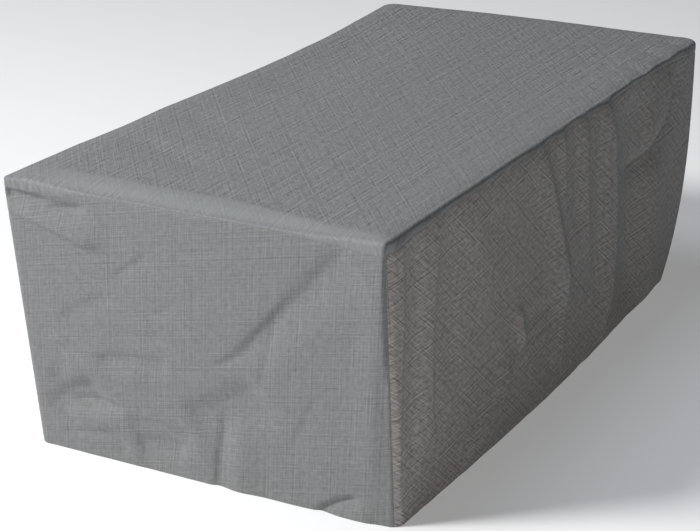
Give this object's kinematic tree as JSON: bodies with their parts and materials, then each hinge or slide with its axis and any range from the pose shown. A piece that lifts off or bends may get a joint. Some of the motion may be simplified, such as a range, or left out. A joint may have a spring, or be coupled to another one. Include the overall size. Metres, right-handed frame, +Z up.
{
  "type": "fitted rectangular table cover",
  "caption": "Fitted box-shaped cloth cover for a rectangular garden table, hollow and open at the floor, with a rolled top edge, sewn seams and soft hanging folds.",
  "frame": {"origin": "middle of the underside of the top panel, where the table's top carries the cover", "axes": "+X along the table's length, +Y across it, +Z up"},
  "size_m": [1.9783, 1.0292, 0.7093],
  "materials": {
    "cover_cloth": "matt coated polyester cloth with a grey linen-look crosshatch"
  },
  "bodies": {
    "root": {"top_panel": "cover_cloth", "near_end_wall": "cover_cloth", "right_side_wall": "cover_cloth", "far_end_wall": "cover_cloth", "left_side_wall": "cover_cloth"}
  },
  "joints": []
}
